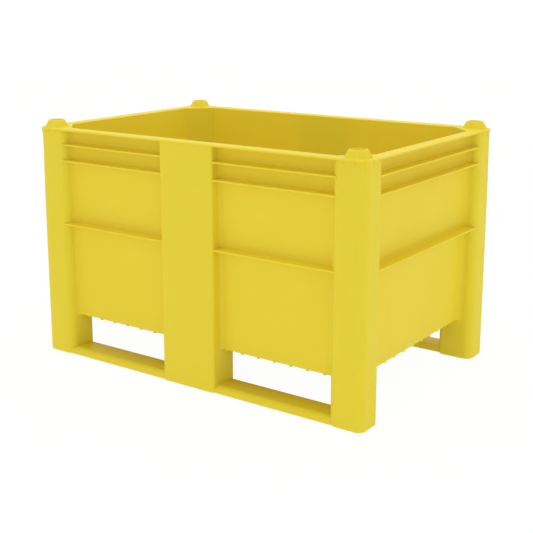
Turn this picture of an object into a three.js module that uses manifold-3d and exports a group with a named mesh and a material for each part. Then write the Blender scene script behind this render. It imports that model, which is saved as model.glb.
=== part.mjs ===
// A pallet box: a large open container with feet and runners, injection moulded in one piece.
// Millimetres, +Z up. The origin is the middle of the footprint, at the level it stands on.
import * as THREE from 'three';
import { mergeVertices } from 'three/addons/utils/BufferGeometryUtils.js';
import Module from 'manifold-3d';

const wasm = await Module();
wasm.setup();

// Overall size, measured over the rim
const LENGTH = 1200;
const WIDTH = 800;
const HEIGHT = 742;

// Rim flange round the mouth
const RIM_THICKNESS = 6;
const RIM_WIDTH = 40;
const RIM_CORNER_RADIUS = 34;

// Walls, drafted so that the box is narrower at its floor than at its mouth
const WALL_THICKNESS = 4.5;
const WALL_FOOT = 128;
const LONG_WALL_TAPER = 7.5;
const END_WALL_TAPER = 18;
const CORNER_PANEL_CUT = 73;
const CORNER_PANEL_RADIUS = 6;

// Floor plate, carried by a lattice of ribs below it
const FLOOR_TOP = 158;
const FLOOR_THICKNESS = 5;
const LATTICE_RIB = 4;
const LATTICE_PITCH_X = 125;
const LATTICE_PITCH_Y = 92;
const LATTICE_DROP = 4;

// Hollow corner posts, which are also the outer feet
const POST_LENGTH = 114;
const POST_WIDTH = 93;
const POST_INSET_X = 2;
const POST_INSET_Y = 3;
const POST_CORNER_RADIUS = 24;
const POST_END_SIDE_RADIUS = 18;
const POST_FORK_SIDE_RADIUS = 30;
const POST_INNER_RADIUS = 6;
const POST_SIDE_DRAFT = 5;
const POST_NECK_INSET = 1.5;
const POST_NECK_HEIGHT = 260;
const POST_THICKNESS = 5;

// Hollow pilaster in the middle of each long side, which is also the middle foot
const PILASTER_WIDTH = 194;
const PILASTER_EDGE_RADIUS = 9;
const PILASTER_SIDE_DRAFT = 4;
const PILASTER_OPENING_LENGTH = 130;
const PILASTER_OPENING_WIDTH = 50;

// Soles of the feet, with rounded lower edges
const SOLE_THICKNESS = 6;
const SOLE_ROUNDING = 4;

// Runners that join the feet along each long side, ribbed underneath
const RUNNER_HEIGHT = 23;
const RUNNER_WIDTH = 79;
const RUNNER_INSET = 9;
const RUNNER_EDGE_RADIUS = 17;
const RUNNER_THICKNESS = 5;
const RUNNER_POCKETS = 6;

// Horizontal ribs round the outside of the walls, each placed by its lower face
const RIB_THICKNESS = 5.5;
const RIB_INSET = 4.75;
const RIB_LEVELS = [432.5, 636.4, 687.8];

// Stacking nubs on the post tops, and the sockets in the soles that take the nubs of a box below
const NUB_HEIGHT = 22;
const NUB_BASE = 66;
const NUB_TOP = 48;
const NUB_OUTER_CUT = 0.46;
const NUB_CUT = 0.3;
const NUB_INSET_X = 48;
const NUB_INSET_Y = 38;
const NUB_DISH_DEPTH = 3;
const NUB_DISH_EDGE = 5;
const NUB_THICKNESS = 5;
const SOCKET_CLEARANCE = 2;

// Gussets that brace the rim off each post
const GUSSET_THICKNESS = 3;
const GUSSET_HEIGHT = 17;
const CORNER_GUSSET_HEIGHT = 27;
const GUSSET_SPACING = 28;

// Facets per quarter turn, and how far joined shapes run into each other
const ARC_FACETS = 4;
const JOIN = 1;

const COLOUR = 0xdfcb3c;

// What follows from the driving dimensions
const rimOuterX = LENGTH / 2;
const rimOuterY = WIDTH / 2;
const rimBottom = HEIGHT - RIM_THICKNESS;
const insideX = rimOuterX - RIM_WIDTH;
const insideY = rimOuterY - RIM_WIDTH;
const floorBottom = FLOOR_TOP - FLOOR_THICKNESS;
const latticeBottom = WALL_FOOT - LATTICE_DROP;
const postOuterX = rimOuterX - POST_INSET_X;
const postOuterY = rimOuterY - POST_INSET_Y;
const postInnerX = postOuterX - POST_LENGTH;
const postInnerY = postOuterY - POST_WIDTH;
const neckBottom = rimBottom - POST_NECK_HEIGHT;
const nubX = rimOuterX - NUB_INSET_X;
const nubY = rimOuterY - NUB_INSET_Y;
const nubTop = HEIGHT + NUB_HEIGHT;
const sides = [-1, 1];
const corners = [[1, 1], [-1, 1], [-1, -1], [1, -1]];

// A closed three.js geometry as a solid that can be joined and cut
function solid(geometry) {
  geometry.deleteAttribute('normal');
  geometry.deleteAttribute('uv');
  const merged = mergeVertices(geometry, 1e-4);
  return new wasm.Manifold(new wasm.Mesh({
    numProp: 3,
    vertProperties: new Float32Array(merged.attributes.position.array),
    triVerts: new Uint32Array(merged.index.array),
  }));
}

function joined(solids) {
  return solids.reduce((all, next) => all.add(next));
}

function block(x0, y0, z0, x1, y1, z1) {
  const box = new THREE.BoxGeometry(x1 - x0, y1 - y0, z1 - z0);
  box.translate((x0 + x1) / 2, (y0 + y1) / 2, (z0 + z1) / 2);
  return solid(box);
}

// A convex outline with round corners, given anticlockwise as [x, y, radius], and mirrored by the signs
function outline(vertices, signX = 1, signY = 1) {
  const turned = vertices.map(([x, y, radius]) => [x * signX, y * signY, radius]);
  if (signX * signY < 0) turned.reverse();
  const shape = new THREE.Shape();
  turned.forEach(([x, y, radius], i) => {
    const here = new THREE.Vector2(x, y);
    const before = new THREE.Vector2(...turned.at(i - 1)).sub(here).normalize();
    const after = new THREE.Vector2(...turned[(i + 1) % turned.length]).sub(here).normalize();
    const half = Math.acos(before.dot(after)) / 2;
    const run = radius / Math.tan(half);
    const centre = before.clone().add(after).setLength(radius / Math.sin(half)).add(here);
    const start = here.clone().addScaledVector(before, run).sub(centre).angle();
    const end = here.clone().addScaledVector(after, run).sub(centre).angle();
    shape.absarc(centre.x, centre.y, radius, start, end, false);
  });
  shape.closePath();
  return shape;
}

function rectangle(x0, y0, x1, y1, radius) {
  return outline([[x0, y0, radius], [x1, y0, radius], [x1, y1, radius], [x0, y1, radius]]);
}

// A solid with the same outline at every level, whose points may be moved level by level
function lofted(shape, levels, move = (x, y) => [x, y]) {
  const steps = levels.length - 1;
  const geometry = new THREE.ExtrudeGeometry(shape, {
    depth: steps, steps, bevelEnabled: false, curveSegments: ARC_FACETS / 2,
  });
  const points = geometry.attributes.position;
  for (let i = 0; i < points.count; i += 1) {
    const z = levels[Math.round(points.getZ(i))];
    const [x, y] = move(points.getX(i), points.getY(i), z);
    points.setXYZ(i, x, y, z);
  }
  return solid(geometry);
}

// Wall faces lean inwards on their way down to the floor, and their ends slide along upright corner panels
function wallDraft(x, y, z) {
  const depth = (HEIGHT - z) / (HEIGHT - WALL_FOOT);
  const onEndWall = Math.abs(x) - Math.abs(y) > insideX - insideY;
  const inwards = (onEndWall ? END_WALL_TAPER : -LONG_WALL_TAPER) * depth;
  return [x - Math.sign(x) * inwards, y + Math.sign(y) * inwards];
}

// The inside of the walls as one solid, grown by a wall: panels behind the posts cut off its corners
function insideSolid(wall, bottom, top) {
  const x = insideX + wall;
  const y = insideY + wall;
  const panel = insideX + insideY - CORNER_PANEL_CUT + wall * Math.SQRT2;
  const radius = CORNER_PANEL_RADIUS;
  const shape = outline([
    [x, panel - x, radius], [panel - y, y, radius], [y - panel, y, radius], [-x, panel - x, radius],
    [-x, x - panel, radius], [y - panel, -y, radius], [panel - y, -y, radius], [x, x - panel, radius],
  ]);
  return lofted(shape, [bottom, top], wallDraft);
}

// How far a foot's faces draw in at its rounded lower edge
function soleInset(z) {
  const rise = Math.min(z, SOLE_ROUNDING);
  return SOLE_ROUNDING - Math.sqrt(SOLE_ROUNDING ** 2 - (SOLE_ROUNDING - rise) ** 2);
}

// How far a post's outer faces draw in under the rim
function neckInset(z) {
  return POST_NECK_INSET * Math.max(0, (z - neckBottom) / POST_NECK_HEIGHT);
}

const footLevels = [0, SOLE_ROUNDING * 0.3, SOLE_ROUNDING];

// A post: its outer corner is widely rounded, and its face beside the fork opening leans
function postSolid(signX, signY, wall, levels) {
  const shape = outline([
    [postInnerX + wall, postInnerY + wall, POST_INNER_RADIUS],
    [postOuterX - wall, postInnerY + wall, POST_END_SIDE_RADIUS - wall],
    [postOuterX - wall, postOuterY - wall, POST_CORNER_RADIUS - wall],
    [postInnerX + POST_SIDE_DRAFT + wall, postOuterY - wall, POST_FORK_SIDE_RADIUS - wall],
  ], signX, signY);
  const middleX = signX * (postInnerX + postOuterX) / 2;
  const middleY = signY * (postInnerY + postOuterY) / 2;
  return lofted(shape, levels, (x, y, z) => {
    const sole = wall === 0 ? soleInset(z) : 0;
    const outX = Math.sign(x - middleX);
    const outY = Math.sign(y - middleY);
    const neckX = outX === signX ? neckInset(z) : 0;
    const neckY = outY === signY ? neckInset(z) : 0;
    return [x - outX * (sole + neckX), y - outY * (sole + neckY)];
  });
}

// A pilaster: a flat front between two sides that lean a little
function pilasterSolid(signY, wall, levels) {
  const half = PILASTER_WIDTH / 2 - wall;
  const middleY = signY * (postInnerY + postOuterY) / 2;
  const shape = outline([
    [-half - PILASTER_SIDE_DRAFT, postInnerY + wall, PILASTER_EDGE_RADIUS / 2],
    [half + PILASTER_SIDE_DRAFT, postInnerY + wall, PILASTER_EDGE_RADIUS / 2],
    [half, postOuterY - wall, PILASTER_EDGE_RADIUS],
    [-half, postOuterY - wall, PILASTER_EDGE_RADIUS],
  ], 1, signY);
  return lofted(shape, levels, (x, y, z) => {
    const sole = wall === 0 ? soleInset(z) : 0;
    return [x - Math.sign(x) * sole, y - Math.sign(y - middleY) * sole];
  });
}

// The hollow of a foot: full width below the floor, and behind the box's own wall above it
function hollow(shapeAt, below) {
  const top = rimBottom;
  const upper = shapeAt([FLOOR_TOP, neckBottom, top]).subtract(insideSolid(WALL_THICKNESS, WALL_FOOT, HEIGHT));
  const lower = shapeAt([SOLE_THICKNESS, floorBottom]);
  const link = shapeAt([floorBottom - JOIN, FLOOR_TOP + JOIN])
    .subtract(insideSolid(WALL_THICKNESS, WALL_FOOT, HEIGHT));
  return joined([upper, link, lower, below]);
}

// An eight-sided frustum on the post's top, with its widest facet on the post's outer corner.
// It is a nub, or the space that one fits in or is hollowed by.
function frustum(signX, signY, base, top, bottomZ, topZ) {
  const half = base / 2;
  const cut = base * NUB_CUT;
  const outer = base * NUB_OUTER_CUT;
  const plan = [
    [-half + cut, -half], [half - cut, -half], [half, -half + cut], [half, half - outer],
    [half - outer, half], [-half + cut, half], [-half, half - cut], [-half, -half + cut],
  ].map(([u, v]) => new THREE.Vector2(u * signX, v * signY));
  if (signX * signY < 0) plan.reverse();
  return lofted(new THREE.Shape(plan), [bottomZ, topZ], (u, v, z) => {
    const scale = z === topZ ? top / base : 1;
    return [signX * nubX + u * scale, signY * nubY + v * scale];
  });
}

// A gusset stands on the post at a point, facing outwards by an angle
function gusset(x, y, angle, height) {
  const reach = POST_INSET_X + POST_NECK_INSET;
  const profile = new THREE.Shape([
    new THREE.Vector2(-POST_THICKNESS / 2, JOIN),
    new THREE.Vector2(-POST_THICKNESS / 2, -height),
    new THREE.Vector2(0, -height),
    new THREE.Vector2(reach - JOIN, 0),
    new THREE.Vector2(reach - JOIN, JOIN),
  ]);
  const plate = new THREE.ExtrudeGeometry(profile, { depth: GUSSET_THICKNESS, bevelEnabled: false });
  plate.translate(0, 0, -GUSSET_THICKNESS / 2);
  plate.rotateX(Math.PI / 2);
  plate.rotateZ(angle);
  plate.translate(x, y, rimBottom);
  return solid(plate);
}

function gussets(signX, signY) {
  const faceX = postOuterX - POST_NECK_INSET;
  const faceY = postOuterY - POST_NECK_INSET;
  const arcX = faceX - POST_CORNER_RADIUS;
  const arcY = faceY - POST_CORNER_RADIUS;
  const quarter = Math.PI / 2;
  const diagonal = POST_CORNER_RADIUS * Math.SQRT1_2;
  const places = [
    [faceX, arcY - GUSSET_SPACING, 0, GUSSET_HEIGHT],
    [faceX, arcY, 0, GUSSET_HEIGHT],
    [arcX + diagonal, arcY + diagonal, quarter / 2, CORNER_GUSSET_HEIGHT],
    [arcX, faceY, quarter, GUSSET_HEIGHT],
    [arcX - GUSSET_SPACING, faceY, quarter, GUSSET_HEIGHT],
  ];
  return places.map(([x, y, angle, height]) => {
    const facing = Math.atan2(Math.sin(angle) * signY, Math.cos(angle) * signX);
    return gusset(x * signX, y * signY, facing, height);
  });
}

// Ribs below the floor, in both directions, that end in the walls
function lattice() {
  const bars = [];
  for (let x = 0; x < insideX; x += LATTICE_PITCH_X) {
    for (const side of x > 0 ? sides : [1]) {
      const at = side * x;
      bars.push(block(at - LATTICE_RIB / 2, -rimOuterY, latticeBottom, at + LATTICE_RIB / 2, rimOuterY, floorBottom + JOIN));
    }
  }
  for (let y = 0; y < insideY; y += LATTICE_PITCH_Y) {
    for (const side of y > 0 ? sides : [1]) {
      const at = side * y;
      bars.push(block(-rimOuterX, at - LATTICE_RIB / 2, latticeBottom, rimOuterX, at + LATTICE_RIB / 2, floorBottom + JOIN));
    }
  }
  return joined(bars).intersect(insideSolid(WALL_THICKNESS / 2, latticeBottom - JOIN, FLOOR_TOP));
}

// One runner, solid along the whole side; its pockets are cut afterwards
function runner(signY) {
  const outer = rimOuterY - RUNNER_INSET;
  const inner = outer - RUNNER_WIDTH;
  const section = outline([
    [inner, 0, 1.5], [outer, 0, 3], [outer, RUNNER_HEIGHT, RUNNER_EDGE_RADIUS], [inner, RUNNER_HEIGHT, 1.5],
  ], signY, 1);
  const length = 2 * (postInnerX + POST_LENGTH / 3);
  const bar = new THREE.ExtrudeGeometry(section, { depth: length, bevelEnabled: false, curveSegments: ARC_FACETS / 2 });
  bar.rotateX(Math.PI / 2);
  bar.rotateZ(Math.PI / 2);
  bar.translate(-length / 2, 0, 0);
  return solid(bar);
}

function runnerPockets(signY) {
  const outer = rimOuterY - RUNNER_INSET - RUNNER_THICKNESS;
  const inner = rimOuterY - RUNNER_INSET - RUNNER_WIDTH + RUNNER_THICKNESS;
  const start = PILASTER_WIDTH / 2 + PILASTER_SIDE_DRAFT + RUNNER_THICKNESS;
  const pitch = (postInnerX - start) / RUNNER_POCKETS;
  const top = RUNNER_HEIGHT - RUNNER_EDGE_RADIUS / 2;
  const pockets = [];
  for (let i = 0; i < RUNNER_POCKETS; i += 1) {
    for (const signX of sides) {
      const near = start + i * pitch;
      const far = near + pitch - RUNNER_THICKNESS;
      const x0 = Math.min(signX * near, signX * far);
      const x1 = Math.max(signX * near, signX * far);
      const y0 = Math.min(signY * inner, signY * outer);
      const y1 = Math.max(signY * inner, signY * outer);
      pockets.push(block(x0, y0, -JOIN, x1, y1, top));
    }
  }
  return pockets;
}

// The moulding: everything that stands up, then everything that is hollow
const shell = insideSolid(WALL_THICKNESS, WALL_FOOT, HEIGHT)
  .subtract(insideSolid(0, WALL_FOOT - JOIN, floorBottom));
const rim = lofted(
  rectangle(-rimOuterX, -rimOuterY, rimOuterX, rimOuterY, RIM_CORNER_RADIUS), [rimBottom, HEIGHT],
);
const ribX = rimOuterX - RIB_INSET;
const ribY = rimOuterY - RIB_INSET;
const ribEndX = postInnerX + POST_SIDE_DRAFT + POST_FORK_SIDE_RADIUS / 2;
const ribEndY = postInnerY + POST_END_SIDE_RADIUS / 2;
const ribOutline = outline([
  [ribX, ribEndY, 2], [ribEndX, ribY, 2], [-ribEndX, ribY, 2], [-ribX, ribEndY, 2],
  [-ribX, -ribEndY, 2], [-ribEndX, -ribY, 2], [ribEndX, -ribY, 2], [ribX, -ribEndY, 2],
]);
const ribs = RIB_LEVELS.map((z) => lofted(ribOutline, [z, z + RIB_THICKNESS]));
const postLevels = [...footLevels, neckBottom, rimBottom + JOIN];
const posts = corners.map(([x, y]) => postSolid(x, y, 0, postLevels));
const pilasters = sides.map((y) => pilasterSolid(y, 0, [...footLevels, rimBottom + JOIN]));
const nubs = corners.map(([x, y]) => frustum(x, y, NUB_BASE, NUB_TOP, HEIGHT - JOIN, nubTop));
const braces = corners.flatMap(([x, y]) => gussets(x, y));
const runners = sides.map(runner);

const upper = joined([rim, ...ribs, ...posts, ...pilasters, ...nubs, ...braces]);
const outside = joined([shell, upper, lattice(), ...runners]);

const dishBase = NUB_TOP - 2 * NUB_DISH_EDGE;
const dishes = corners.map(([x, y]) => frustum(x, y, dishBase, dishBase + 2, nubTop - NUB_DISH_DEPTH, nubTop + JOIN));
const socketWidth = NUB_BASE + 2 * SOCKET_CLEARANCE;
const postHollows = corners.map(([x, y]) => {
  const socket = frustum(x, y, socketWidth, socketWidth, -JOIN, SOLE_THICKNESS + JOIN)
    .intersect(postSolid(x, y, POST_THICKNESS, [-JOIN, SOLE_THICKNESS + JOIN]));
  const core = frustum(
    x, y, NUB_BASE - 2 * NUB_THICKNESS, NUB_TOP - 2 * NUB_THICKNESS,
    rimBottom - JOIN, nubTop - NUB_DISH_DEPTH - NUB_THICKNESS,
  );
  return hollow((levels) => postSolid(x, y, POST_THICKNESS, levels), socket).add(core);
});
const pilasterHollows = sides.map((y) => {
  const middle = y * (postInnerY + postOuterY) / 2;
  const opening = block(
    -PILASTER_OPENING_LENGTH / 2, middle - PILASTER_OPENING_WIDTH / 2, -JOIN,
    PILASTER_OPENING_LENGTH / 2, middle + PILASTER_OPENING_WIDTH / 2, SOLE_THICKNESS + JOIN,
  );
  return hollow((levels) => pilasterSolid(y, POST_THICKNESS, levels), opening);
});
const mouth = insideSolid(0, FLOOR_TOP, nubTop + JOIN);
const pockets = sides.flatMap(runnerPockets);
const moulding = outside.subtract(joined([mouth, ...postHollows, ...pilasterHollows, ...pockets, ...dishes]));

function geometryOf(body) {
  const mesh = body.getMesh();
  const geometry = new THREE.BufferGeometry();
  geometry.setAttribute('position', new THREE.BufferAttribute(new Float32Array(mesh.vertProperties), 3));
  geometry.setIndex(new THREE.BufferAttribute(new Uint32Array(mesh.triVerts), 1));
  geometry.computeVertexNormals();
  return geometry;
}

const palletBox = new THREE.Group();
const material = new THREE.MeshStandardMaterial({ color: COLOUR, roughness: 0.45, metalness: 0 });
const body = new THREE.Mesh(geometryOf(moulding), material);
body.name = 'pallet_box';
palletBox.add(body);

export default palletBox;
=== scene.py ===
# A pallet box moulded in one piece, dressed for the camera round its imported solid.
# Sizes are in millimetres and become metres where a mesh is made. +Z is up.
import math

import bmesh
import bpy
from mathutils import Matrix, Vector


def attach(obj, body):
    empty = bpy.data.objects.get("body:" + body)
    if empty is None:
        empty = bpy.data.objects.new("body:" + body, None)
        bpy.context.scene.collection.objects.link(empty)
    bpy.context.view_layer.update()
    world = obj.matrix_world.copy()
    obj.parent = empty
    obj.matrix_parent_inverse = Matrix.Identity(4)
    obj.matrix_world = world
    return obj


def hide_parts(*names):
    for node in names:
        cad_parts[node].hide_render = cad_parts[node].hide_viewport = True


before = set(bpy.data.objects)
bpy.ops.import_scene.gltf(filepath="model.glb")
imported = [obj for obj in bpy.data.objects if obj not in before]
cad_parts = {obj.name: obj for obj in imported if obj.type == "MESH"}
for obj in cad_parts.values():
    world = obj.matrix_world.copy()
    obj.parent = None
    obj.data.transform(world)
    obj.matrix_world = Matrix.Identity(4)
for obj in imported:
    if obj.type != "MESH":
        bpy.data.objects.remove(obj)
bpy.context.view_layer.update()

# The camera
# It looks from beyond the near corner, a little above the rim, with a longish lens.
# The picture was cut from a larger one, so the lens is shifted instead of tipped.
picture_px = 533
focal_px = 1015.4
horizon_shift_px = -47.5
sensor_mm = 36
azimuth = math.radians(35.16)
elevation = math.radians(12.45)
camera_distance = 3.2897
look_at_side = 0.0065
look_at_up = 0.0730
look_at_height = 0.370

away = Vector((
    math.sin(azimuth) * math.cos(elevation),
    -math.cos(azimuth) * math.cos(elevation),
    math.sin(elevation),
))
sideways = Vector((math.cos(azimuth), math.sin(azimuth), 0))
upright = away.cross(sideways)
look_at = Vector((0, 0, look_at_height)) + sideways * look_at_side + upright * look_at_up

camera = bpy.data.objects.new("camera", bpy.data.cameras.new("camera"))
camera.data.sensor_width = sensor_mm
camera.data.lens = focal_px / picture_px * sensor_mm
camera.data.shift_y = horizon_shift_px / picture_px
camera.data.clip_end = 100
camera.matrix_world = Matrix.Translation(look_at + away * camera_distance) @ Matrix(
    (sideways, upright, away)
).transposed().to_4x4()
bpy.context.scene.collection.objects.link(camera)
bpy.context.scene.camera = camera


# Yellow high-density polyethylene, injection moulded
# A soft satin skin with a fine even grain from the mould, so its highlights are wide and weak.
# The melt leaves faint broad clouds of tone. Light passes a little way in and warms the shade.
moulding_yellow = "#EBD93B"
moulding_cloud = "#E7D236"
moulding_cloud_mm = 260
cloud_thinnest = 0.3
cloud_thickest = 0.7
roughness_lowest = 0.46
roughness_highest = 0.54
moulding_grain_mm = 1.6
grain_depth_m = 0.0002
grain_strength = 0.12
refractive_index = 1.54
gloss_level = 0.18
light_let_in = 0.2
light_reach_m = (0.020, 0.010, 0.002)


def linear(hex_colour):
    """An sRGB hex value as a linear colour."""
    values = [int(hex_colour[i:i + 2], 16) / 255 for i in (1, 3, 5)]
    return (*[v / 12.92 if v <= 0.04045 else ((v + 0.055) / 1.055) ** 2.4 for v in values], 1)


def add_node(tree, kind, inputs=None, **settings):
    """Add a node: inputs are values or sockets to link, by the input's name or number."""
    node = tree.nodes.new(kind)
    for key, value in settings.items():
        setattr(node, key, value)
    for key, value in (inputs or {}).items():
        if isinstance(value, bpy.types.NodeSocket):
            tree.links.new(value, node.inputs[key])
        else:
            node.inputs[key].default_value = value
    return node


def moulded_polyethylene():
    material = bpy.data.materials.new("moulded_polyethylene")
    material.use_nodes = True
    tree = material.node_tree
    tree.nodes.clear()
    place = add_node(tree, "ShaderNodeTexCoord").outputs["Object"]
    clouds = add_node(tree, "ShaderNodeTexNoise", {
        "Vector": place, "Scale": 1000 / moulding_cloud_mm, "Detail": 3, "Roughness": 0.55,
    })
    tone = add_node(tree, "ShaderNodeMix", {
        "Factor": clouds.outputs["Fac"], "A": linear(moulding_yellow), "B": linear(moulding_cloud),
    }, data_type="RGBA")
    sheen = add_node(tree, "ShaderNodeMapRange", {
        "Value": clouds.outputs["Fac"], "From Min": cloud_thinnest, "From Max": cloud_thickest,
        "To Min": roughness_lowest, "To Max": roughness_highest,
    })
    grain = add_node(tree, "ShaderNodeTexNoise", {
        "Vector": place, "Scale": 1000 / moulding_grain_mm, "Detail": 2, "Roughness": 0.6,
    })
    bump = add_node(tree, "ShaderNodeBump", {
        "Height": grain.outputs["Fac"], "Strength": grain_strength, "Distance": grain_depth_m,
    })
    shader = add_node(tree, "ShaderNodeBsdfPrincipled", {
        "Base Color": tone.outputs["Result"], "Roughness": sheen.outputs["Result"],
        "IOR": refractive_index, "Specular IOR Level": gloss_level, "Metallic": 0.0,
        "Normal": bump.outputs["Normal"], "Subsurface Weight": light_let_in,
        "Subsurface Radius": light_reach_m, "Subsurface Scale": 1.0,
    })
    add_node(tree, "ShaderNodeOutputMaterial", {"Surface": shader.outputs["BSDF"]})
    return material


polyethylene = moulded_polyethylene()


# Walls and floor
# A drafted tub with four flat sides, whose corners are cut off where the posts stand behind them.
# It is one skin of even thickness, whose floor meets the walls in a wide fillet that is easy to clean.
half_length = 600
half_width = 400
height = 742
rim_width = 40
wall_thickness = 4.5
wall_foot = 128
end_wall_taper = 18
long_wall_taper = 7.5
corner_cut = 73
corner_cut_radius = 6
floor_top = 158
floor_bottom = 153
overlap = 1
arc_facets = 8
weld_distance_m = 1e-6


def rounded_ring(vertices, z, facets=arc_facets):
    """A convex outline at one height. Its vertices are (x, y, radius), anticlockwise."""
    ring = []
    for i, (x, y, radius) in enumerate(vertices):
        here = Vector((x, y))
        before = (Vector(vertices[i - 1][:2]) - here).normalized()
        after = (Vector(vertices[(i + 1) % len(vertices)][:2]) - here).normalized()
        half = before.angle(after) / 2
        centre = here + (before + after).normalized() * radius / math.sin(half)
        spoke = here + before * radius / math.tan(half) - centre
        for k in range(facets + 1):
            point = centre + Matrix.Rotation((math.pi - 2 * half) * k / facets, 2) @ spoke
            ring.append(Vector((point.x, point.y, z)))
    return ring


def mirrored(rings, sign_x, sign_y):
    """The same rings in another quarter of the box."""
    return [[Vector((p.x * sign_x, p.y * sign_y, p.z)) for p in ring] for ring in rings]


def face_outwards(mesh):
    """Weld doubled points and turn every face of a closed mesh outwards."""
    shell = bmesh.new()
    shell.from_mesh(mesh)
    bmesh.ops.remove_doubles(shell, verts=shell.verts, dist=weld_distance_m)
    bmesh.ops.recalc_face_normals(shell, faces=shell.faces)
    shell.to_mesh(mesh)
    shell.free()


def loft(name, rings):
    """A closed solid through rings that have the same number of points."""
    count = len(rings[0])
    points = [point / 1000 for ring in rings for point in ring]
    faces = [tuple(reversed(range(count)))]
    for low in range(0, len(points) - count, count):
        for i in range(count):
            j = (i + 1) % count
            faces.append((low + i, low + j, low + count + j, low + count + i))
    faces.append(tuple(range(len(points) - count, len(points))))
    mesh = bpy.data.meshes.new(name)
    mesh.from_pydata(points, [], faces)
    face_outwards(mesh)
    piece = bpy.data.objects.new(name, mesh)
    bpy.context.scene.collection.objects.link(piece)
    return piece


def quarter_round(radius, steps=4):
    """How far a rounded edge draws in, and how high up it that is, from the edge to the face."""
    angles = [math.pi / 2 * k / steps for k in range(steps + 1)]
    return [(radius * (1 - math.sin(a)), radius * (1 - math.cos(a))) for a in angles]


def tub_vertices(z, grow=0):
    """The inside of the walls at one height, grown by their thickness or drawn in by a rounding."""
    depth = (height - z) / (height - wall_foot)
    x = half_length - rim_width - end_wall_taper * depth + grow
    y = half_width - rim_width - long_wall_taper * depth + grow
    panel = half_length + half_width - 2 * rim_width - corner_cut + grow * math.sqrt(2)
    radius = corner_cut_radius
    return [
        (x, panel - x, radius), (panel - y, y, radius),
        (y - panel, y, radius), (-x, panel - x, radius),
        (-x, x - panel, radius), (y - panel, -y, radius),
        (panel - y, -y, radius), (x, x - panel, radius),
    ]


def tub(name, levels):
    return loft(name, [rounded_ring(tub_vertices(z, grow), z) for z, grow in levels])


def combine(base, tools, operation):
    """Join solids to the base, or cut them from it, and delete them."""
    for tool in tools:
        step = base.modifiers.new(operation, "BOOLEAN")
        step.operation = operation
        step.solver = "MANIFOLD"
        step.object = tool
    result = bpy.data.meshes.new_from_object(
        base.evaluated_get(bpy.context.evaluated_depsgraph_get())
    )
    base.modifiers.clear()
    base.data = result
    for tool in tools:
        bpy.data.objects.remove(tool)
    return base


wall_foot_rounding = 3
walls = tub("walls", [
    (wall_foot + rise, wall_thickness - inset) for inset, rise in quarter_round(wall_foot_rounding)
] + [(height, wall_thickness)])
under_floor = tub("under_floor", [(wall_foot - overlap, 0), (floor_bottom, 0)])
combine(walls, [under_floor], "DIFFERENCE")


# Ribs below the floor
# A square lattice of thin upright ribs, moulded with the floor, that carries its load to the walls.
# From the side only their ends show, as small bumps along the lower edge of each wall.
lattice_rib = 6
lattice_pitch = 56.5
lattice_drop = 4


def rows_of_blocks_tree():
    """Blocks of one size in a straight row."""
    tree = bpy.data.node_groups.new("rows_of_blocks", "GeometryNodeTree")
    tree.is_modifier = True
    face = tree.interface
    face.new_socket("Geometry", in_out="OUTPUT", socket_type="NodeSocketGeometry")
    for name in ("Block size", "First block", "Step"):
        face.new_socket(name, in_out="INPUT", socket_type="NodeSocketVector")
    face.new_socket("Count", in_out="INPUT", socket_type="NodeSocketInt")
    face.new_socket("Material", in_out="INPUT", socket_type="NodeSocketMaterial")
    given = add_node(tree, "NodeGroupInput").outputs
    cube = add_node(tree, "GeometryNodeMeshCube", {"Size": given["Block size"]})
    line = add_node(tree, "GeometryNodeMeshLine", {
        "Count": given["Count"], "Start Location": given["First block"], "Offset": given["Step"],
    }, mode="OFFSET")
    row = add_node(tree, "GeometryNodeInstanceOnPoints", {
        "Points": line.outputs["Mesh"], "Instance": cube.outputs["Mesh"],
    })
    real = add_node(tree, "GeometryNodeRealizeInstances", {"Geometry": row.outputs["Instances"]})
    finish = add_node(tree, "GeometryNodeSetMaterial", {
        "Geometry": real.outputs["Geometry"], "Material": given["Material"],
    })
    add_node(tree, "NodeGroupOutput", {"Geometry": finish.outputs["Geometry"]})
    return tree


def grown(name, tree, inputs, path=()):
    """The mesh that a node tree makes from its named inputs, and from a path if it needs one."""
    piece = bpy.data.objects.new(name, bpy.data.meshes.new(name))
    piece.data.from_pydata(path, [(i, i + 1) for i in range(len(path) - 1)], [])
    bpy.context.scene.collection.objects.link(piece)
    modifier = piece.modifiers.new(name, "NODES")
    modifier.node_group = tree
    for socket in tree.interface.items_tree:
        if socket.in_out == "INPUT" and socket.name in inputs:
            modifier[socket.identifier] = inputs[socket.name]
    piece.update_tag()
    mesh = bpy.data.meshes.new_from_object(
        piece.evaluated_get(bpy.context.evaluated_depsgraph_get())
    )
    piece.modifiers.clear()
    face_outwards(mesh)
    piece.data = mesh
    return piece


rows_of_blocks = rows_of_blocks_tree()


def blocks(name, size, first, step, count):
    """A row of blocks, all in millimetres."""
    return grown(name, rows_of_blocks, {
        "Block size": [v / 1000 for v in size],
        "First block": [v / 1000 for v in first],
        "Step": [v / 1000 for v in step],
        "Count": count,
        "Material": polyethylene,
    })


lattice_bottom = wall_foot - lattice_drop
lattice_height = floor_bottom + overlap - lattice_bottom
lattice_middle = lattice_bottom + lattice_height / 2
across_each_side = int((half_length - rim_width) / lattice_pitch)
along_each_side = int((half_width - rim_width) / lattice_pitch)
lattice = blocks(
    "lattice",
    (lattice_rib, 2 * half_width, lattice_height),
    (-across_each_side * lattice_pitch, 0, lattice_middle),
    (lattice_pitch, 0, 0),
    2 * across_each_side + 1,
)
lattice_along = blocks(
    "lattice_along",
    (2 * half_length, lattice_rib, lattice_height),
    (0, -along_each_side * lattice_pitch, lattice_middle),
    (0, lattice_pitch, 0),
    2 * along_each_side + 1,
)
combine(lattice, [lattice_along], "UNION")
lattice_end = wall_thickness / 2
tub_room = tub("tub_room", [(lattice_bottom - overlap, lattice_end), (floor_top, lattice_end)])
combine(lattice, [tub_room], "INTERSECT")
combine(walls, [lattice], "UNION")


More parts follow.
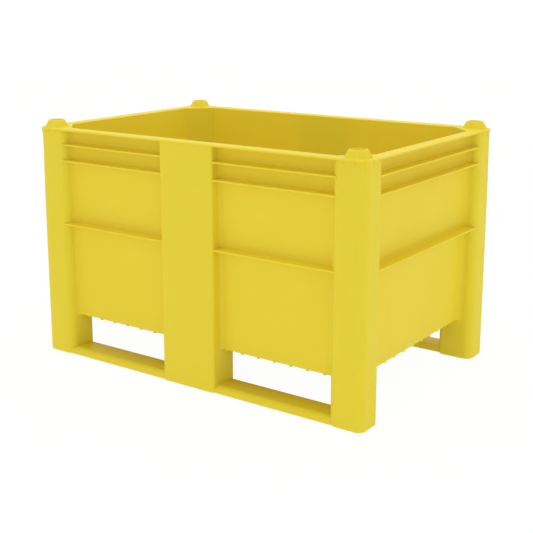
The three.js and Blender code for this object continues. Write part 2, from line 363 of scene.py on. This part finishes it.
# Corner posts
# Hollow legs that run from the rim to the floor and carry the stack. The outer corner is widely
# rounded, the side at the fork opening leans, and the outside draws in a little towards the rim.
rim_thickness = 6
rim_bottom = height - rim_thickness
post_length = 114
post_width = 98
post_inset_x = 2
post_inset_y = 3
post_corner_radius = 24
post_fork_side_radius = 30
post_end_side_radius = 28
post_inner_radius = 14
post_side_draft = 5
neck_inset = 1.5
neck_height = 260
post_thickness = 5
sole_rounding = 4
sole_thickness = 6
post_outer_x = half_length - post_inset_x
post_outer_y = half_width - post_inset_y
post_inner_x = post_outer_x - post_length
post_inner_y = post_outer_y - post_width
neck_bottom = rim_bottom - neck_height
quarters = [(1, 1), (-1, 1), (-1, -1), (1, -1)]


def foot_levels(top):
    """Heights with how far a foot's faces draw in there, from the sole up."""
    return [(rise, inset) for inset, rise in quarter_round(sole_rounding)] + [(top, 0)]


def neck_draw(z):
    rise = min(1, max(0, (z - neck_bottom) / neck_height))
    return neck_inset * rise * rise * (3 - 2 * rise)


def post_ring(z, inset):
    inner_y = post_inner_y + inset
    outer_x = post_outer_x - inset - neck_draw(z)
    outer_y = post_outer_y - inset - neck_draw(z)
    return rounded_ring([
        (post_inner_x + inset, inner_y, post_inner_radius),
        (outer_x, inner_y, post_end_side_radius - inset),
        (outer_x, outer_y, post_corner_radius - inset),
        (post_inner_x + post_side_draft + inset, outer_y, post_fork_side_radius - inset),
    ], z)


neck_steps = 6
neck_levels = [neck_bottom + neck_height * k / neck_steps for k in range(neck_steps + 1)]
post_rings = [post_ring(z, inset) for z, inset in foot_levels(neck_bottom)]
post_rings += [post_ring(z, 0) for z in neck_levels[1:-1] + [rim_bottom + overlap]]
posts = [loft("post", mirrored(post_rings, *quarter)) for quarter in quarters]
combine(walls, posts, "UNION")


# Middle pilasters
# A broad flat-faced column in the middle of each long side, hollow like the posts. Below the floor
# it goes on as the middle foot, a little deeper than the runner, and parts the two fork openings.
pilaster_width = 194
pilaster_depth = 93
pilaster_edge_radius = 9
pilaster_side_draft = 4
pilaster_inner_y = post_outer_y - pilaster_depth
long_sides = [1, -1]


def pilaster_ring(z, inset):
    half = pilaster_width / 2 - inset
    wide = half + pilaster_side_draft
    return rounded_ring([
        (-wide, pilaster_inner_y + inset, pilaster_edge_radius / 2),
        (wide, pilaster_inner_y + inset, pilaster_edge_radius / 2),
        (half, post_outer_y - inset, pilaster_edge_radius),
        (-half, post_outer_y - inset, pilaster_edge_radius),
    ], z)


pilaster_rings = [pilaster_ring(z, inset) for z, inset in foot_levels(rim_bottom + overlap)]
pilasters = [loft("pilaster", mirrored(pilaster_rings, 1, side)) for side in long_sides]
combine(walls, pilasters, "UNION")


# Runners
# A skid along each long side that ties its three feet together and lets the box slide and roll.
# The outer top edge is broadly rounded, and the underside is cored out between thin webs.
runner_height = 23
runner_width = 79
runner_inset = 9
runner_edge_radius = 17
runner_thickness = 5
runner_small_radius = 2
runner_pockets = 6
runner_outer = half_width - runner_inset
runner_inner = runner_outer - runner_width
runner_end = post_inner_x + post_length / 3


def runner_ring(x, side):
    section = rounded_ring([
        (runner_inner, 0, runner_small_radius),
        (runner_outer, 0, runner_small_radius),
        (runner_outer, runner_height, runner_edge_radius),
        (runner_inner, runner_height, runner_small_radius),
    ], 0)
    return [Vector((x, side * point.x, point.y)) for point in section]


runners = [
    loft("runner", [runner_ring(x, side) for x in (-runner_end, runner_end)]) for side in long_sides
]
combine(walls, runners, "UNION")


# Rim
# A flat flange round the whole mouth, with rounded edges, that stiffens it and takes a lid.
# Its outer corners are rounded to the posts, and it stands out beyond them by a few millimetres.
rim_corner_radius = 34
rim_upper_rounding = 2.2
rim_lower_rounding = 1.2


def rim_ring(z, inset):
    x = half_length - inset
    y = half_width - inset
    radius = rim_corner_radius - inset
    corners = [(x, y, radius), (-x, y, radius), (-x, -y, radius), (x, -y, radius)]
    return rounded_ring(corners, z, 2 * arc_facets)


rim_levels = [(rim_bottom + rise, inset) for inset, rise in quarter_round(rim_lower_rounding)]
rim_levels += [
    (height - rise, inset) for inset, rise in reversed(quarter_round(rim_upper_rounding))
]
combine(walls, [loft("rim", [rim_ring(z, inset) for z, inset in rim_levels])], "UNION")


# Horizontal ribs
# Three stiffening ribs on every side, two close below the rim and one at mid height.
# They run from post to post and fade into the rounded sides, with a fillet along the wall.
rib_thickness = 5.5
rib_inset = 4.75
rib_levels = [432.5, 636.4, 687.8]
rib_edge_rounding = 2
rib_end_radius = 3
rib_x = half_length - rib_inset
rib_y = half_width - rib_inset
rib_end_x = post_inner_x + post_side_draft + post_fork_side_radius / 2
rib_end_y = post_inner_y + post_end_side_radius / 2


def rib_ring(z, inset):
    x = rib_x - inset
    y = rib_y - inset
    radius = rib_end_radius
    return rounded_ring([
        (x, rib_end_y, radius), (rib_end_x, y, radius),
        (-rib_end_x, y, radius), (-x, rib_end_y, radius),
        (-x, -rib_end_y, radius), (-rib_end_x, -y, radius),
        (rib_end_x, -y, radius), (x, -rib_end_y, radius),
    ], z)


for rib_bottom in rib_levels:
    edge = quarter_round(rib_edge_rounding)
    levels = [(rib_bottom + rise, inset) for inset, rise in edge]
    levels += [(rib_bottom + rib_thickness - rise, inset) for inset, rise in reversed(edge)]
    combine(walls, [loft("rib", [rib_ring(z, inset) for z, inset in levels])], "UNION")


# Fillets
# Every inner corner of the moulding is eased, so that it cools evenly and leaves the mould.
# They show as soft lines of shade where a rib, the rim, a post or a pilaster meets a wall.
rib_fillet = 4
rim_fillet = 5
post_fillet = 20
pilaster_fillet = 10
fillet_root = 12


def fillet_belt(bottom, top, radius):
    """A belt on the walls that flares out to a rib or the rim at both its edges."""
    below = [(bottom - rise, wall_thickness + inset) for inset, rise in quarter_round(radius)]
    above = [(top + rise, wall_thickness + inset) for inset, rise in quarter_round(radius)]
    return tub("fillet_belt", below[::-1] + above)


def fillet_section(radius, edge_radius, edge_middle, lean):
    """An inner fillet from the wall up a leaning side, or only as far as its rounded edge."""
    short = max(0, radius - edge_middle)
    reach = math.sqrt((radius + edge_radius) ** 2 - short ** 2) - edge_radius
    turn = math.acos(short / (radius + edge_radius))
    angles = [turn * k / arc_facets for k in range(arc_facets + 1)]
    curve = [(reach - radius * math.sin(a), radius - radius * math.cos(a)) for a in angles]
    section = [(-fillet_root, -fillet_root), (reach, -fillet_root)]
    section += [(u - lean * v, v) for u, v in curve]
    section += [(-fillet_root, curve[-1][1])]
    return section


def fillet_strip(meeting, along, out, radius, quarter):
    """An upright fillet in the corner between a wall and what stands out from it."""
    rings = []
    for z in [wall_foot + overlap] + neck_levels[:-1] + [rim_bottom + overlap]:
        corner, side = meeting(z)
        rings.append([
            (Vector(corner) + along * u + out * v).to_3d() + Vector((0, 0, z))
            for u, v in fillet_section(radius, *side)
        ])
    return loft("fillet_strip", mirrored(rings, *quarter))


def wall_face(z):
    """Where the outsides of the end walls and of the long walls stand at one height."""
    depth = (height - z) / (height - wall_foot)
    x = half_length - rim_width + wall_thickness - end_wall_taper * depth
    y = half_width - rim_width + wall_thickness - long_wall_taper * depth
    return x, y


def post_on_long_wall(z):
    """The corner, then the radius, place and lean of the rounded side that the fillet runs into."""
    y = wall_face(z)[1]
    lean = post_side_draft / post_width
    middle = post_outer_y - neck_draw(z) - post_fork_side_radius - y
    return (post_inner_x + lean * (y - post_inner_y), y), (post_fork_side_radius, middle, lean)


def pilaster_on_long_wall(z):
    y = wall_face(z)[1]
    lean = pilaster_side_draft / pilaster_depth
    middle = post_outer_y - pilaster_edge_radius - y
    return (pilaster_width / 2 + lean * (post_outer_y - y), y), (pilaster_edge_radius, middle, lean)


def post_on_end_wall(z):
    x = wall_face(z)[0]
    middle = post_outer_x - neck_draw(z) - post_end_side_radius - x
    return (x, post_inner_y), (post_end_side_radius, middle, 0)


along_x = Vector((1, 0))
along_y = Vector((0, 1))
belts = [fillet_belt(bottom, bottom + rib_thickness, rib_fillet) for bottom in rib_levels]
belts.append(fillet_belt(rim_bottom, rim_bottom + overlap, rim_fillet))
combine(walls, belts, "UNION")
strips = []
for quarter in quarters:
    strips.append(fillet_strip(post_on_long_wall, -along_x, along_y, post_fillet, quarter))
    strips.append(fillet_strip(pilaster_on_long_wall, along_x, along_y, pilaster_fillet, quarter))
    strips.append(fillet_strip(post_on_end_wall, -along_y, along_x, post_fillet, quarter))
combine(walls, strips, "UNION")


# Gussets
# Small three-cornered webs that brace the overhanging rim off each post, five round every corner.
# The one at the corner itself is the tallest.
gusset_thickness = 3
gusset_height = 17
gusset_reach = 3
gusset_root = 3
corner_gusset_height = 27
gussets_per_post = 5
gusset_run = 45


def gussets_tree():
    """Webs at even steps along a path, each square to it, with a taller one in the middle."""
    tree = bpy.data.node_groups.new("gussets", "GeometryNodeTree")
    tree.is_modifier = True
    face = tree.interface
    face.new_socket("Geometry", in_out="OUTPUT", socket_type="NodeSocketGeometry")
    face.new_socket("Path", in_out="INPUT", socket_type="NodeSocketGeometry")
    for name in ("Thickness", "Height", "Reach", "Root", "Embedding", "Middle stretch"):
        face.new_socket(name, in_out="INPUT", socket_type="NodeSocketFloat")
    face.new_socket("Count", in_out="INPUT", socket_type="NodeSocketInt")
    face.new_socket("Middle", in_out="INPUT", socket_type="NodeSocketInt")
    face.new_socket("Material", in_out="INPUT", socket_type="NodeSocketMaterial")
    given = add_node(tree, "NodeGroupInput").outputs
    depth = add_node(tree, "ShaderNodeMath", {0: given["Reach"], 1: given["Root"]}, operation="ADD")
    size = add_node(tree, "ShaderNodeCombineXYZ", {
        "X": depth.outputs[0], "Y": given["Thickness"], "Z": given["Height"],
    })
    block = add_node(tree, "GeometryNodeMeshCube", {"Size": size.outputs[0]})
    position = add_node(tree, "GeometryNodeInputPosition").outputs[0]
    here = add_node(tree, "ShaderNodeSeparateXYZ", {0: position})
    outer = add_node(tree, "ShaderNodeMath", {0: here.outputs["X"], 1: 0.0}, operation="GREATER_THAN")
    lower = add_node(tree, "ShaderNodeMath", {0: here.outputs["Z"], 1: 0.0}, operation="LESS_THAN")
    toe = add_node(tree, "ShaderNodeMath", {
        0: outer.outputs[0], 1: lower.outputs[0],
    }, operation="MULTIPLY")
    back = add_node(tree, "ShaderNodeMath", {0: given["Reach"], 1: -1.0}, operation="MULTIPLY")
    draw_in = add_node(tree, "ShaderNodeCombineXYZ", {"X": back.outputs[0]})
    web = add_node(tree, "GeometryNodeSetPosition", {
        "Geometry": block.outputs["Mesh"], "Selection": toe.outputs[0],
        "Offset": draw_in.outputs[0],
    })
    beyond = add_node(tree, "ShaderNodeMath", {
        0: given["Reach"], 1: given["Root"],
    }, operation="SUBTRACT")
    half_x = add_node(tree, "ShaderNodeMath", {0: beyond.outputs[0], 1: 0.5}, operation="MULTIPLY")
    drop = add_node(tree, "ShaderNodeMath", {
        0: given["Height"], 1: -0.5, 2: given["Embedding"],
    }, operation="MULTIPLY_ADD")
    hang = add_node(tree, "ShaderNodeCombineXYZ", {"X": half_x.outputs[0], "Z": drop.outputs[0]})
    hung = add_node(tree, "GeometryNodeTransform", {
        "Geometry": web.outputs["Geometry"], "Translation": hang.outputs[0],
    })
    path = add_node(tree, "GeometryNodeMeshToCurve", {"Mesh": given["Path"]})
    stops = add_node(tree, "GeometryNodeCurveToPoints", {
        "Curve": path.outputs["Curve"], "Count": given["Count"],
    }, mode="COUNT")
    turn = add_node(tree, "FunctionNodeAlignRotationToVector", {
        "Vector": stops.outputs["Tangent"],
    }, axis="Y", pivot_axis="Z")
    index = add_node(tree, "GeometryNodeInputIndex").outputs[0]
    is_middle = add_node(tree, "FunctionNodeCompare", {
        2: index, 3: given["Middle"],
    }, data_type="INT", operation="EQUAL")
    stretch = add_node(tree, "GeometryNodeSwitch", {
        "Switch": is_middle.outputs[0], "False": 1.0, "True": given["Middle stretch"],
    }, input_type="FLOAT")
    scale = add_node(tree, "ShaderNodeCombineXYZ", {"X": 1.0, "Y": 1.0, "Z": stretch.outputs[0]})
    webs = add_node(tree, "GeometryNodeInstanceOnPoints", {
        "Points": stops.outputs["Points"], "Instance": hung.outputs["Geometry"],
        "Rotation": turn.outputs["Rotation"], "Scale": scale.outputs[0],
    })
    real = add_node(tree, "GeometryNodeRealizeInstances", {"Geometry": webs.outputs["Instances"]})
    finish = add_node(tree, "GeometryNodeSetMaterial", {
        "Geometry": real.outputs["Geometry"], "Material": given["Material"],
    })
    add_node(tree, "NodeGroupOutput", {"Geometry": finish.outputs["Geometry"]})
    return tree


gussets = gussets_tree()


def gusset_path(sign_x, sign_y):
    """The post's outer face just under the rim, anticlockwise round the box's corner."""
    face_x = post_outer_x - neck_inset
    face_y = post_outer_y - neck_inset
    arc_x = face_x - post_corner_radius
    arc_y = face_y - post_corner_radius
    turns = [math.pi / 2 * k / (2 * arc_facets) for k in range(2 * arc_facets + 1)]
    points = [(face_x, arc_y - gusset_run)]
    points += [
        (arc_x + post_corner_radius * math.cos(a), arc_y + post_corner_radius * math.sin(a))
        for a in turns
    ]
    points += [(arc_x - gusset_run, face_y)]
    placed = [Vector((x * sign_x, y * sign_y, rim_bottom)) / 1000 for x, y in points]
    return placed[::sign_x * sign_y]


webs = []
for quarter in quarters:
    path = gusset_path(*quarter)
    webs.append(grown("gussets", gussets, {
        "Thickness": gusset_thickness / 1000, "Height": gusset_height / 1000,
        "Reach": gusset_reach / 1000, "Root": gusset_root / 1000, "Embedding": overlap / 1000,
        "Middle stretch": corner_gusset_height / gusset_height, "Count": gussets_per_post,
        "Middle": gussets_per_post // 2, "Material": polyethylene,
    }, path))
combine(walls, webs, "UNION")


# Stacking nubs
# A blunt hollow pyramid on each post, with a shallow dish in its top. It slips into the socket in
# the sole of the box above, so that a stack can't slide.
nub_height = 22
nub_base = 68
nub_top = 47
nub_outer_cut = 0.24
nub_cut = 0.26
nub_corner_radius = 5
nub_inset_x = 48
nub_inset_y = 38
nub_edge_rounding = 1.5
nub_base_fillet = 2
nub_wall = 5
dish_depth = 6
dish_rounding = 2
dish_edge = 4
socket_clearance = 2
nub_facets = 4
nub_x = half_length - nub_inset_x
nub_y = half_width - nub_inset_y
nub_peak = height + nub_height


def nub_ring(z, half):
    """A square round the nub's axis with its corners cut off, the box's outer one by its own share."""
    outer = half * 2 * nub_outer_cut
    cut = half * 2 * nub_cut
    radius = nub_corner_radius
    return rounded_ring([
        (nub_x - half + cut, nub_y - half, radius), (nub_x + half - cut, nub_y - half, radius),
        (nub_x + half, nub_y - half + cut, radius), (nub_x + half, nub_y + half - outer, radius),
        (nub_x + half - outer, nub_y + half, radius), (nub_x - half + cut, nub_y + half, radius),
        (nub_x - half, nub_y + half - cut, radius), (nub_x - half, nub_y - half + cut, radius),
    ], z, nub_facets)


def nub_half(z):
    return nub_base / 2 - (nub_base - nub_top) / 2 * (z - height) / nub_height


nub_rings = [nub_ring(height - overlap, nub_half(height) + nub_base_fillet)]
nub_rings += [
    nub_ring(height + rise, nub_half(height + rise) + inset)
    for inset, rise in quarter_round(nub_base_fillet)
]
nub_rings += [
    nub_ring(nub_peak - rise, nub_half(nub_peak - rise) - inset)
    for inset, rise in reversed(quarter_round(nub_edge_rounding))
]
combine(walls, [loft("nub", mirrored(nub_rings, *quarter)) for quarter in quarters], "UNION")

dish_half = nub_top / 2 - dish_edge
dish_bottom = nub_peak - dish_depth
dish_rings = [
    nub_ring(dish_bottom + rise, dish_half - inset) for inset, rise in quarter_round(dish_rounding)
]
dish_rings += [nub_ring(nub_peak + overlap, dish_half + overlap)]
combine(walls, [loft("dish", mirrored(dish_rings, *quarter)) for quarter in quarters], "DIFFERENCE")


# Hollows of the feet
# The mould's cores leave the posts and the middle feet hollow and open at the sole, where a lip
# stays round the socket. Above the floor the tub's own wall closes the hollow on the inside.
opening_length = 130
opening_width = 50
opening_radius = 8
opening_low = (pilaster_inner_y + post_outer_y - opening_width) / 2
opening_high = opening_low + opening_width
sole_levels = (-overlap, sole_thickness + overlap)
socket_half = nub_base / 2 + socket_clearance
core_top = dish_bottom - nub_wall


def opening_ring(z):
    x = opening_length / 2
    return rounded_ring([
        (-x, opening_low, opening_radius), (x, opening_low, opening_radius),
        (x, opening_high, opening_radius), (-x, opening_high, opening_radius),
    ], z)


def room(name, ring_at, levels, quarter):
    """The room inside the skin of a foot, between some heights."""
    return loft(name, mirrored([ring_at(z, post_thickness) for z in levels], *quarter))


def hollow(ring_at, quarter, opening):
    """All the room inside a foot, with its opening."""
    upper_levels = [floor_bottom - overlap, neck_bottom] + neck_levels[1:-1] + [rim_bottom]
    upper = room("upper_room", ring_at, upper_levels, quarter)
    inner_wall = tub("inner_wall", [(wall_foot, wall_thickness), (height, wall_thickness)])
    combine(upper, [inner_wall], "DIFFERENCE")
    lower = room("lower_room", ring_at, (sole_thickness, floor_bottom), quarter)
    return combine(upper, [lower, opening], "UNION")


core_rings = [
    nub_ring(rim_bottom - overlap, nub_half(height) - nub_wall),
    nub_ring(core_top, nub_half(core_top) - nub_wall),
]
hollows = []
for quarter in quarters:
    socket = loft("socket", mirrored([nub_ring(z, socket_half) for z in sole_levels], *quarter))
    combine(socket, [room("sole_room", post_ring, sole_levels, quarter)], "INTERSECT")
    core = loft("nub_core", mirrored(core_rings, *quarter))
    hollows.append(combine(hollow(post_ring, quarter, socket), [core], "UNION"))
for side in long_sides:
    opening = loft("opening", mirrored([opening_ring(z) for z in sole_levels], 1, side))
    hollows.append(hollow(pilaster_ring, (1, side), opening))
combine(walls, hollows, "DIFFERENCE")


# Pockets under the runners
# The runner is cored out from below between thin cross webs, so that no part of it is thick.
pocket_start = pilaster_width / 2 + pilaster_side_draft + runner_thickness
pocket_pitch = (post_inner_x - pocket_start) / runner_pockets
pocket_length = pocket_pitch - runner_thickness
pocket_width = runner_width - 2 * runner_thickness
pocket_top = runner_height - runner_edge_radius / 2
for side in long_sides:
    for end in (-1, 1):
        pockets = blocks(
            "pockets",
            (pocket_length, pocket_width, pocket_top + overlap),
            (end * (pocket_start + pocket_length / 2), side * (runner_outer + runner_inner) / 2,
             (pocket_top - overlap) / 2),
            (end * pocket_pitch, 0, 0),
            runner_pockets,
        )
        combine(walls, [pockets], "DIFFERENCE")


# The mouth
# The core of the mould clears the inside from the floor up through everything that stood in it.
# It leaves a wide fillet round the floor and a small rounding on the rim's inner edge.
floor_fillet = 16
floor_fillet_steps = 6
mouth_rounding = 3
mouth_levels = [
    (floor_top + rise, -inset) for inset, rise in quarter_round(floor_fillet, floor_fillet_steps)
]
mouth_levels += [(height - rise, inset) for inset, rise in reversed(quarter_round(mouth_rounding))]
mouth_levels += [(nub_peak + nub_height, mouth_rounding)]
combine(walls, [tub("mouth", mouth_levels)], "DIFFERENCE")


# The finished moulding
# One shell of polyethylene, trimmed at the gate and otherwise just as it left the mould.
# Its flats stay flat and its rounded edges run smoothly, as on the real one.
crease_angle = math.radians(28)

moulding = walls
moulding.name = "pallet_box_moulding"
face_outwards(moulding.data)
moulding.data.materials.clear()
moulding.data.materials.append(polyethylene)
for polygon in moulding.data.polygons:
    polygon.material_index = 0
moulding.data.shade_smooth()
moulding.data.set_sharp_from_angle(angle=crease_angle)
even = moulding.modifiers.new("even_normals", "WEIGHTED_NORMAL")
even.keep_sharp = True
even.weight = 100
smoothed = bpy.data.meshes.new_from_object(
    moulding.evaluated_get(bpy.context.evaluated_depsgraph_get())
)
moulding.modifiers.clear()
moulding.data = smoothed

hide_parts("pallet_box")
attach(moulding, "root")


# Floor
# A plain pale studio floor, lit a little from below as in a packshot. The camera sees it nearly
# white, and it keeps the box's soft shadow.
floor_half = 12
floor_colour = "#F4F4F2"
floor_glow = 0.96
floor_own_light = 0.28


def bright_to_the_eye(tree, plain, share):
    """A shader that the camera, gloss and glass see as partly white, and light sees as plain."""
    ray = add_node(tree, "ShaderNodeLightPath").outputs
    seen = add_node(tree, "ShaderNodeMath", {
        0: ray["Is Camera Ray"], 1: ray["Is Glossy Ray"],
    }, operation="MAXIMUM")
    any_seen = add_node(tree, "ShaderNodeMath", {
        0: seen.outputs[0], 1: ray["Is Transmission Ray"],
    }, operation="MAXIMUM")
    white_share = add_node(tree, "ShaderNodeMath", {
        0: any_seen.outputs[0], 1: share,
    }, operation="MULTIPLY")
    white = add_node(tree, "ShaderNodeEmission", {"Color": (1, 1, 1, 1), "Strength": 1.0})
    return add_node(tree, "ShaderNodeMixShader", {
        0: white_share.outputs[0], 1: plain.outputs[0], 2: white.outputs[0],
    })


floor_material = bpy.data.materials.new("pale_floor")
floor_material.use_nodes = True
floor_tree = floor_material.node_tree
floor_tree.nodes.clear()
matt = add_node(floor_tree, "ShaderNodeBsdfDiffuse", {"Color": linear(floor_colour)})
own_light = add_node(floor_tree, "ShaderNodeEmission", {
    "Color": (1, 1, 1, 1), "Strength": floor_own_light,
})
lit_floor = add_node(floor_tree, "ShaderNodeAddShader", {
    0: matt.outputs[0], 1: own_light.outputs[0],
})
add_node(floor_tree, "ShaderNodeOutputMaterial", {
    "Surface": bright_to_the_eye(floor_tree, lit_floor, floor_glow).outputs[0],
})
floor_mesh = bpy.data.meshes.new("floor")
floor_mesh.from_pydata([
    (-floor_half, -floor_half, 0), (floor_half, -floor_half, 0),
    (floor_half, floor_half, 0), (-floor_half, floor_half, 0),
], [], [(0, 1, 2, 3)])
floor_mesh.materials.append(floor_material)
floor = bpy.data.objects.new("floor", floor_mesh)
bpy.context.scene.collection.objects.link(floor)


# Light
# A white room, a shade warm, with a wide soft lamp low to the right of the camera, one beyond the
# near end and one overhead that reaches the inside.
room_strength = 0.85
room_colour = (0.985, 0.93, 0.86, 1)
lamp_colour = (0.94, 1.0, 1.0)
lamps = [
    ("front_lamp", (3.2, -2.6, 0.6), 2.6, 1.8),
    ("right_lamp", (3.8, 0.4, 1.0), 2.6, 2.2),
    ("top_lamp", (0.0, 0.0, 3.2), 2.0, 20),
]

world = bpy.data.worlds.new("white_room")
bpy.context.scene.world = world
world.use_nodes = True
world_tree = world.node_tree
world_tree.nodes.clear()
white_walls = add_node(world_tree, "ShaderNodeBackground", {
    "Color": room_colour, "Strength": room_strength,
})
add_node(world_tree, "ShaderNodeOutputWorld", {
    "Surface": bright_to_the_eye(world_tree, white_walls, 1.0).outputs[0],
})
for name, place, size, power in lamps:
    lamp = bpy.data.objects.new(name, bpy.data.lights.new(name, "AREA"))
    lamp.data.size = size
    lamp.data.energy = power
    lamp.data.color = lamp_colour
    lamp.location = place
    lamp.rotation_euler = (look_at - Vector(place)).to_track_quat("-Z", "Y").to_euler()
    bpy.context.scene.collection.objects.link(lamp)
bpy.context.scene.view_settings.view_transform = "Standard"
